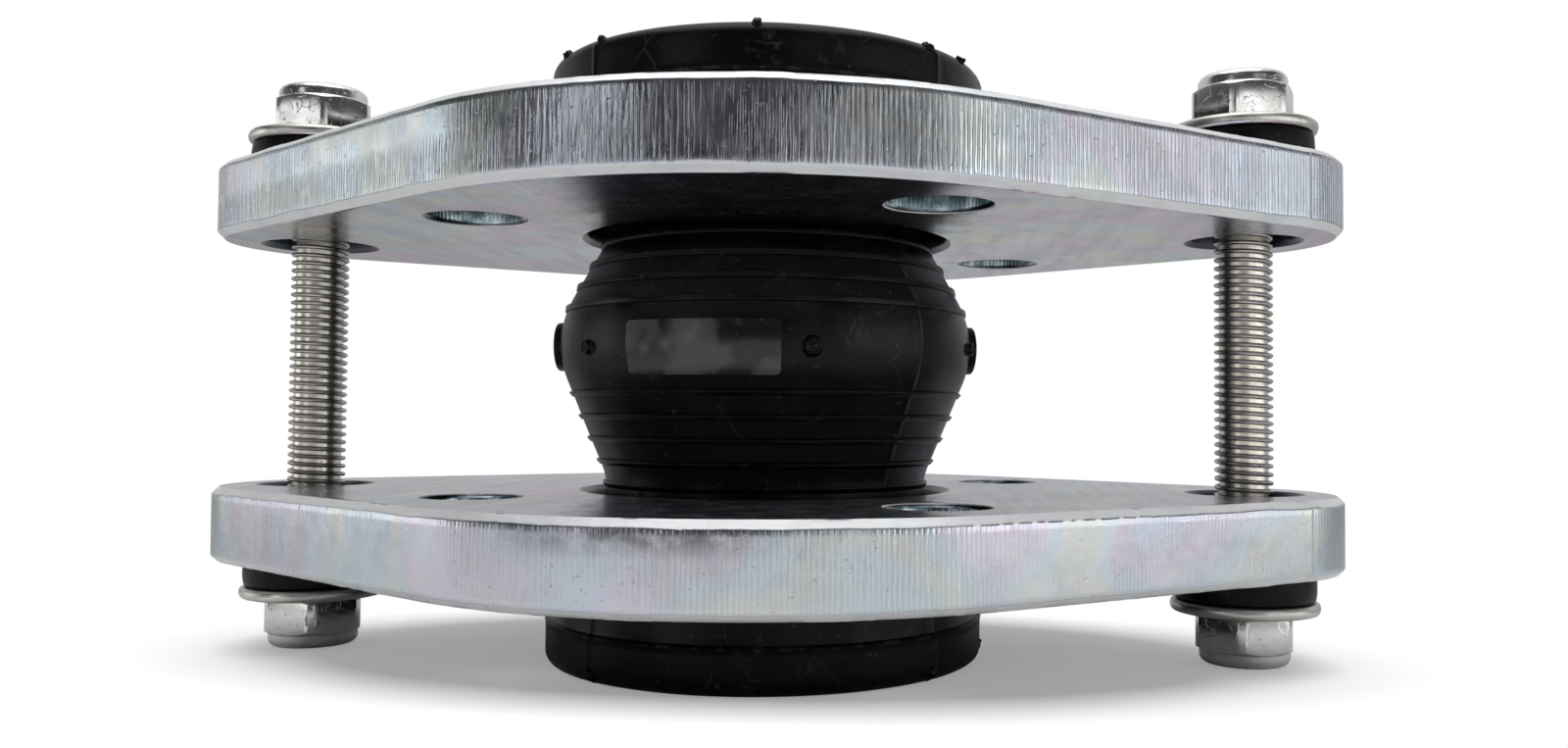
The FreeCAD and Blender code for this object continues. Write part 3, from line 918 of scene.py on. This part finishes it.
# Tie rods. Two stainless M12 studs, rolled thread over their whole length, that pass through wide holes
# in the flanges and keep the bellows from being pulled apart.
rod_tree, given, made = tree_group(
    "threaded_rods",
    "GeometryNodeTree",
    [
        ("Places", "Geometry", None),
        ("Outer Radius", "Float", 0.00595),
        ("Thread Depth", "Float", 0.00100),
        ("Thread Pitch", "Float", 0.00175),
        ("Ridge Width", "Float", 0.00096),
        ("Low End", "Float", 0.0006),
        ("High End", "Float", 0.1214),
        ("Steps Each Turn", "Int", 44),
        ("Material", "Material", None),
    ],
    [("Rods", "Geometry")],
)
rod_length = minus(given["High End"], given["Low End"])
thread_length = minus(rod_length, times(given["Thread Pitch"], 1.6))
root_radius = minus(given["Outer Radius"], given["Thread Depth"])
helix = {
    "Resolution": given["Steps Each Turn"],
    "Rotations": calc("DIVIDE", thread_length, given["Thread Pitch"]),
    "Start Radius": root_radius,
    "End Radius": root_radius,
    "Height": thread_length,
    "Reverse": False,
}
helix = put(rod_tree, "GeometryNodeCurveSpiral", helix)
upright = put(rod_tree, "GeometryNodeSetCurveNormal", {"Curve": helix}, mode="Z_UP")
# The ridge is an ellipse, sunk 0.3 mm into the core so that they overlap
half_height = times(plus(given["Thread Depth"], 0.3 * mm), 0.5)
ridge = put(rod_tree, "GeometryNodeCurvePrimitiveCircle", {"Resolution": 12, "Radius": 1.0}, mode="RADIUS")
ridge_place = vector(X=minus(half_height, given["Thread Depth"]))
ridge_size = vector(X=half_height, Y=times(given["Ridge Width"], 0.5), Z=1.0)
ridge = shifted(ridge, Translation=ridge_place, Scale=ridge_size)
thread = {"Curve": upright, "Profile Curve": ridge, "Fill Caps": True}
thread = put(rod_tree, "GeometryNodeCurveToMesh", thread)
thread_start = plus(given["Low End"], times(given["Thread Pitch"], 0.8))
thread = shifted(thread, Translation=vector(Z=thread_start))
core = {"Vertices": 48, "Side Segments": 4, "Fill Segments": 3, "Radius": root_radius, "Depth": rod_length}
core = put(rod_tree, "GeometryNodeMeshCylinder", core)
core = shifted(core, Translation=vector(Z=plus(given["Low End"], times(rod_length, 0.5))))
rods = {"Points": given["Places"], "Instance": joined(thread, core)}
end_tree(made, given, put(rod_tree, "GeometryNodeInstanceOnPoints", rods))


def from_rod_axis(place):
    """How far a place is from the axis of the nearer rod."""
    at = axes(place)
    off_axis = vector(X=minus(apart(at["X"]), rod_offset), Y=at["Y"])
    return put(place.id_data, "ShaderNodeVectorMath", {0: off_axis}, operation="LENGTH").outputs["Value"]


stainless_rod, shader, place = new_material("stainless_rod")
across = from_rod_axis(place)
crest = between(across, 5.2 * mm, 5.8 * mm)
valley = between(across, 5.02 * mm, 5.16 * mm, 1.0, 0.0)
grime = effect(mottle_tree, place, Size=0.004, Detail=5.0, Low=0.35, High=0.7)
colour = mixed(crest, (0.20, 0.19, 0.18, 1), (0.56, 0.55, 0.53, 1))
colour = mixed(valley, colour, (0.92, 0.87, 0.78, 1))
colour = mixed(times(grime["Mask"], 0.25), colour, (0.40, 0.375, 0.34, 1))
rough = between(grime["Height"], 0.3, 0.7, 0.26, 0.42)
feed(shader, {"Base Color": colour, "Roughness": rough, "Metallic": 1.0})
rolled = effect(mottle_tree, place, Size=0.0005, Detail=2.0, Low=0.3, High=0.7)
bumped(shader, rolled["Height"], 0.3, 0.00005)

rods = smooth_object("threaded_rods", [(-rod_offset, 0, 0), (rod_offset, 0, 0)], [])
run_tree(rods, rod_tree, {"Material": stainless_rod})
rods.data.polygons.foreach_set("use_smooth", [True] * len(rods.data.polygons))
rods.data.set_sharp_from_angle(angle=math.radians(30))
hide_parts("left_tie_rod", "right_tie_rod")
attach(rods, "tie_rods")

# Lock nuts. Four cold-formed stainless hexagon nuts whose rounded outer collar is rolled over a nylon
# insert. Each was turned until it only just touched, so that no two stand at the same angle.
nut_flats, nut_corners, nut_height, nut_bore = 9.5 * mm, 10.57 * mm, 10.5 * mm, 6.0 * mm
collar_height, collar_radius, collar_round = 2.8 * mm, 9.1 * mm, 1.6 * mm
seat_cut = 0.35 * mm
corner_half_width = 0.693 * mm


def hexagon_radius(angle):
    """Distance from the axis to the hexagon in a direction, with the corners cut to narrow flats."""
    off = abs(math.remainder(angle, math.pi / 3))
    return min(nut_flats / math.cos(off), nut_corners / math.cos(math.pi / 6 - off))


def lock_nut():
    """A nut with its collar at z 0 and its seat at the top, and one flat facing along X."""
    strip = math.atan(corner_half_width / nut_corners)
    angles = []
    for middle in (face * math.pi / 3 for face in range(6)):
        angles += [middle + math.radians(off) for off in range(-26, 27, 4)]
        angles += [middle + side * (math.pi / 6 - strip) for side in (-1, 1)] + [middle + math.pi / 6]
    angles = sorted(angle % math.tau for angle in angles)
    columns = []
    for angle in angles:
        reach = hexagon_radius(angle)
        arch = (reach - nut_flats + seat_cut) * math.tan(math.radians(30))
        column = [(6.75 * mm, 0.62 * mm), (6.75 * mm, 0.25 * mm), (6.95 * mm, 0.03 * mm)]
        for a in quarter(6):
            inset = collar_round * (1 - math.sin(a))
            column.append((collar_radius - inset, collar_round * (1 - math.cos(a))))
        column += [(collar_radius, collar_height - 0.1 * mm), (collar_radius + 0.05 * mm, collar_height)]
        column += [(reach, collar_height + arch), (reach, (collar_height + nut_height) / 2)]
        column += [(reach, nut_height - arch), (nut_flats - seat_cut, nut_height)]
        column += [(6.6 * mm, nut_height), (nut_bore, nut_height - 0.6 * mm), (nut_bore, 2.9 * mm)]
        column += [(8.0 * mm, 2.85 * mm), (8.0 * mm, 0.66 * mm)]
        columns.append([(r * math.cos(angle), r * math.sin(angle), z) for r, z in column])
    faces = skin(len(columns), len(columns[0]), closed=True)
    return [point for column in columns for point in column], [(a, d, c, b) for a, b, c, d in faces]


def worn_steel(name, shade, dull, smooth, rough, scratch_size):
    """Bright handled steel: soft stains, short scratches and small dents."""
    material, shader, place = new_material(name)
    stain = effect(mottle_tree, place, Size=0.0045, Detail=5.0, Low=0.38, High=0.70)
    cuts = effect(scratch_tree, place, Size=scratch_size, Width=0.035, Spread=0.50)
    dents = effect(mottle_tree, place, Size=0.0010, Detail=3.0, Low=0.62, High=0.72)
    colour = mixed(times(stain["Mask"], 0.6), shade, dull)
    colour = mixed(times(cuts["Mask"], 0.45), colour, (0.92, 0.92, 0.91, 1))
    colour = mixed(times(dents["Mask"], 0.4), colour, (0.25, 0.24, 0.23, 1))
    roughness = between(stain["Height"], 0.3, 0.7, smooth, rough)
    feed(shader, {"Base Color": colour, "Roughness": roughness, "Metallic": 1.0})
    height = minus(minus(times(stain["Height"], 0.7), dents["Mask"]), times(cuts["Mask"], 0.6))
    bumped(shader, height, 0.4, 0.00008)
    return material


# The same tree sets nuts, inserts, washers and bushes on the rods' ends, the upper ones turned over
set_tree, given, made = tree_group(
    "set_on_rod_ends",
    "GeometryNodeTree",
    [("Rod Ends", "Geometry", None), ("Fitting", "Object", None), ("Material", "Material", None)],
    [("Fittings", "Geometry")],
)
turn, over = (read_attribute(set_tree, name) for name in ("turn", "turned_over"))
whole_turn = put(set_tree, "FunctionNodeEulerToRotation", {0: vector(X=times(over, math.pi), Z=turn)})
shape = put(set_tree, "GeometryNodeObjectInfo", {"Object": given["Fitting"]}).outputs["Geometry"]
fittings = {"Points": given["Rod Ends"], "Instance": shape, "Rotation": whole_turn}
end_tree(made, given, put(set_tree, "GeometryNodeInstanceOnPoints", fittings))


def on_rod_ends(name, fitting, height, turns, material, ends=("lower", "upper")):
    """Sets a fitting on the rods' ends, with its outer side at a height above the lower end's floor."""
    spots, angles, flips = [], [], []
    for end in ends:
        for side, x in (("left", -rod_offset), ("right", rod_offset)):
            spots.append((x, 0, height if end == "lower" else face_to_face - height))
            angles.append(math.radians(turns.get(end + "_" + side, 0)))
            flips.append(1.0 if end == "upper" else 0.0)
    piece = smooth_object(name, spots, [])
    for title, values in (("turn", angles), ("turned_over", flips)):
        piece.data.attributes.new(title, "FLOAT", "POINT").data.foreach_set("value", values)
    run_tree(piece, set_tree, {"Fitting": fitting, "Material": material})
    bpy.data.objects.remove(fitting)
    return piece


def soften(piece, width):
    """Rounds the sharp edges of a piece by a small width."""
    bevel = piece.modifiers.new("worn_edges", "BEVEL")
    bevel.width, bevel.segments, bevel.limit_method = width, 2, "ANGLE"
    bevel.angle_limit = math.radians(25)
    plain_mesh(piece)
    piece.data.polygons.foreach_set("use_smooth", [True] * len(piece.data.polygons))
    piece.data.set_sharp_from_angle(angle=math.radians(40))


nut_steel = worn_steel("nut_steel", (0.78, 0.775, 0.76, 1), (0.62, 0.615, 0.60, 1), 0.14, 0.27, 0.0028)
nut = smooth_object("nut_shape", *lock_nut(), 25)
soften(nut, 0.10 * mm)
nut_turns = {"lower_left": 25, "lower_right": -14, "upper_left": 28, "upper_right": -22.6}
nuts = on_rod_ends("lock_nuts", nut, 0.1 * mm, nut_turns, nut_steel)
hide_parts(*[end + "_lock_nut" for end in nut_turns])
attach(nuts, "tie_rods")


# Nylon inserts. A white ring pressed into the collar of each lock nut, in which the rod cuts its own
# thread and so grips it.
def turned_shape(name, section, steps, uneven=0.0):
    """A closed ring from its section in millimetres, with a little wear in its outer edge."""
    points = []
    for radius, z in section:
        for angle in (math.tau * step / steps for step in range(steps)):
            wear = uneven * noise.noise(Vector((math.cos(angle) * 2.4, math.sin(angle) * 2.4, z * 0.6)))
            reach = (radius + (wear if radius > 10 else 0)) * mm
            points.append((reach * math.cos(angle), reach * math.sin(angle), z * mm))
    return smooth_object(name, points, skin(len(section), steps, closed=True), 32)


nylon, shader, place = new_material("nylon")
cloud = effect(mottle_tree, place, Size=0.002, Detail=3.0, Low=0.35, High=0.7)
colour = mixed(cloud["Mask"], (0.70, 0.69, 0.64, 1), (0.60, 0.58, 0.52, 1))
feed(shader, {"Base Color": colour, "Roughness": between(cloud["Height"], 0.3, 0.7, 0.35, 0.5)})
insert_section = [
    (6.05, 0.9), (6.25, 0.65), (7.7, 0.62), (7.93, 0.8), (7.93, 2.6), (7.8, 2.75), (6.05, 2.75),
]
insert = turned_shape("insert_shape", insert_section, 64)
inserts = on_rod_ends("nylon_inserts", insert, 0.1 * mm, {}, nylon)
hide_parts(*[end + "_nylon_insert" for end in nut_turns])
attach(inserts, "tie_rods")

# Washers. Four thick steel washers, stamped out, with edges that have worn round. They spread the
# nuts' load over the rubber bushes.
washer_steel = worn_steel("washer_steel", (0.68, 0.665, 0.63, 1), (0.50, 0.48, 0.45, 1), 0.28, 0.46, 0.0035)
washer_section = [
    (6.5, 0.3), (6.8, 0.05), (10.5, 0.0), (14.0, 0.02), (14.45, 0.14), (14.78, 0.42), (14.95, 0.8),
    (15.0, 1.2), (14.95, 1.65), (14.8, 2.05), (14.5, 2.35), (14.1, 2.48), (10.5, 2.5), (6.8, 2.5),
    (6.5, 2.2),
]
washer = turned_shape("washer_shape", washer_section, 112, 0.12)
washers = on_rod_ends("washers", washer, 10.6 * mm, {"lower_right": 70, "upper_left": 140}, washer_steel)
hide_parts(*[end + "_washer" for end in nut_turns])
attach(washers, "tie_rods")

# Rubber bushes. Four thick black rubber rings between the washers and the flanges, which let the rods
# tilt. Each bulges a little under the load.
bush_rubber, shader, place, colour = black_rubber(
    "bush_rubber", (0.0016, 0.0016, 0.0016, 1), (0.0040, 0.0040, 0.0040, 1), 0.40
)
feed(shader, {"Base Color": colour})
bush_section = [
    (6.6, 0.4), (6.95, 0.05), (10.0, 0.0), (13.2, 0.0), (13.75, 0.14), (14.1, 0.5), (14.2, 1.0),
    (14.3, 2.0), (14.33, 3.0), (14.3, 4.0), (14.2, 5.0), (14.1, 5.5), (13.75, 5.86), (13.2, 6.0),
    (10.0, 6.0), (6.95, 5.95), (6.6, 5.6),
]
for end, low_body, high_body, low, high in (
    ("lower", "tie_rods", "lower_end", 13.1, 19.1),
    ("upper", "upper_bushes", "upper_end", 108.9, 102.9),
):
    bush = turned_shape("bush_shape", bush_section, 96, 0.06)
    bushes = on_rod_ends(end + "_bushes", bush, 13.1 * mm, {}, bush_rubber, (end,))
    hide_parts(end + "_left_rubber_bush", end + "_right_rubber_bush")
    give(bushes)

# Studio: a white floor that keeps the object's soft shadow, white surroundings, large soft lamps at the
# sides and above, and the camera at the photograph's place.
reach = 6.0
corners = [(-reach, -reach, 0), (reach, -reach, 0), (reach, reach, 0), (-reach, reach, 0)]
floor = smooth_object("floor", corners, [(0, 1, 2, 3)])
white = (1, 1, 1, 1)


def seen_plainly(tree):
    """One where the camera looks straight or through glass, and the light path's other outputs."""
    path = put(tree, "ShaderNodeLightPath").outputs
    return calc("MAXIMUM", path["Is Camera Ray"], path["Is Transmission Ray"]), path


def stretched_distance(place, squeeze):
    """Distance from the object's axis over the floor, with X squeezed so that its circles are ovals."""
    at = axes(place)
    flat = vector(X=times(at["X"], squeeze), Y=at["Y"])
    return put(place.id_data, "ShaderNodeVectorMath", {0: flat}, operation="LENGTH").outputs["Value"]


white_floor = bpy.data.materials.new("white_floor")
tree = bare_tree(white_floor)
straight, path = seen_plainly(tree)
place = put(tree, "ShaderNodeTexCoord").outputs["Object"]
at = axes(place)
mirrored = times(between(at["Y"], -0.10, 0.10, 0.82, 0.50), between(apart(at["X"]), 0.16, 0.34, 1.0, 0.72))
mirrored = times(mirrored, path["Is Glossy Ray"])
paint = put(tree, "ShaderNodeBsdfDiffuse", {"Color": (0.72, 0.72, 0.72, 1)})
glow = put(tree, "ShaderNodeEmission", {"Color": white, "Strength": times(straight, 0.28)})
shaded = put(tree, "ShaderNodeAddShader", {0: paint, 1: glow})
blank = put(tree, "ShaderNodeEmission", {"Color": white, "Strength": calc("MAXIMUM", straight, mirrored)})
# The camera sees the shadow only near the object, and a mirror sees it a little further out
past_shadow = times(
    between(stretched_distance(place, 0.46), 0.044, 0.063), between(from_rod_axis(place), 0.010, 0.021)
)
mirror_shadow = between(stretched_distance(place, 0.8), 0.08, 0.14)
cover = put(tree, "ShaderNodeMix", {0: straight, 2: mirror_shadow, 3: past_shadow})
cover = times(cover, calc("MAXIMUM", straight, path["Is Glossy Ray"]))
faded = put(tree, "ShaderNodeMixShader", {0: cover, 1: shaded, 2: blank})
put(tree, "ShaderNodeOutputMaterial", {0: faded})
floor.data.materials.append(white_floor)

world = bpy.data.worlds.new("studio")
bpy.context.scene.world = world
tree = bare_tree(world)
way = axes(put(tree, "ShaderNodeTexCoord").outputs["Generated"])
behind = times(between(way["Y"], 0.10, 0.50, 0.04, 0.48), between(way["Z"], 0.10, 0.30, 1.0, 1.35))
surroundings = plus(behind, between(way["Z"], 0.66, 0.82, 0.0, 0.62))
level = put(tree, "ShaderNodeMix", {0: seen_plainly(tree)[0], 2: surroundings, 3: 1.0})
sky = put(tree, "ShaderNodeBackground", {"Color": white, "Strength": level})
put(tree, "ShaderNodeOutputWorld", {0: sky})


def soft_lamp(name, place, aim, width, height, watts, lights_floor=True):
    lamp = bpy.data.lights.new(name, "AREA")
    lamp.shape, lamp.size, lamp.size_y, lamp.energy = "RECTANGLE", width, height, watts
    holder = bpy.data.objects.new(name, lamp)
    holder.visible_diffuse = lights_floor
    bpy.context.scene.collection.objects.link(holder)
    way = Vector(aim) - Vector(place)
    holder.matrix_world = Matrix.Translation(place) @ way.to_track_quat("-Z", "Y").to_matrix().to_4x4()


soft_lamp("left_panel", (-0.60, -0.04, 0.118), (0, -0.04, 0.118), 0.27, 0.236, 0.25)
soft_lamp("right_panel", (0.60, -0.20, 0.125), (0, -0.20, 0.125), 0.48, 0.25, 0.47)
soft_lamp("left_strip", (-0.638, -0.878, 0.26), (-0.05, -0.05, 0.26), 0.28, 0.48, 0.52)
soft_lamp("right_front_panel", (0.326, -0.556, 0.16), (0.1, 0, 0.16), 0.14, 0.32, 0.13)
soft_lamp("right_card", (0.212, -0.150, 0.105), (0.1, 0, 0.105), 0.09, 0.15, 0.028, lights_floor=False)
soft_lamp("top_softbox", (0.0, -0.16, 0.85), (0, -0.05, 0.02), 0.90, 0.60, 3.0)

camera_place, heading, tilt, roll = (0.0422, -0.2700, 0.0506), 0.0800, 0.0323, 0.0063
camera = bpy.data.cameras.new("camera")
camera.sensor_width, camera.lens, camera.shift_x = 36, 29.19, -0.0504
camera.clip_start = 0.01
viewer = bpy.data.objects.new("camera", camera)
bpy.context.scene.collection.objects.link(viewer)
viewer.matrix_world = (
    Matrix.Translation(camera_place)
    @ Matrix.Rotation(heading, 4, "Z")
    @ Matrix.Rotation(math.pi / 2 + tilt, 4, "X")
    @ Matrix.Rotation(roll, 4, "Z")
)
bpy.context.scene.camera = viewer
bpy.context.scene.view_settings.view_transform = "Standard"
